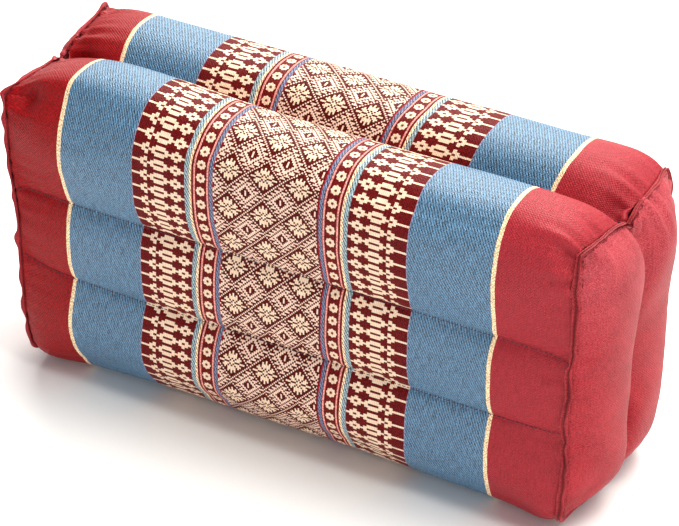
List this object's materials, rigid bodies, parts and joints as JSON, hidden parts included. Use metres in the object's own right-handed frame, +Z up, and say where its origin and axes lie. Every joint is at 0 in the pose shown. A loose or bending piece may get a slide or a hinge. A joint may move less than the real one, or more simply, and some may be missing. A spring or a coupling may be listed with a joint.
{
  "type": "block meditation cushion",
  "caption": "Upright block cushion with sewn filled channels, woven patterned sides, plain cotton end panels and raised end seams.",
  "frame": {"origin": "centre of the bounding box at the resting surface", "axes": "+X along the length, +Y from the front face to the back face, +Z up"},
  "size_m": [0.3588, 0.1206, 0.1787],
  "materials": {
    "woven_cotton": "ribbed woven cotton with a supplementary-weft pattern",
    "plain_red_cotton": "plain woven cotton, matt",
    "seam_cotton": "folded plain woven cotton, matt"
  },
  "bodies": {
    "root": {"cushion_body": "woven_cotton", "end_panel_left": "plain_red_cotton", "end_panel_right": "plain_red_cotton", "end_seam_left": "seam_cotton", "end_seam_right": "seam_cotton"}
  },
  "joints": []
}
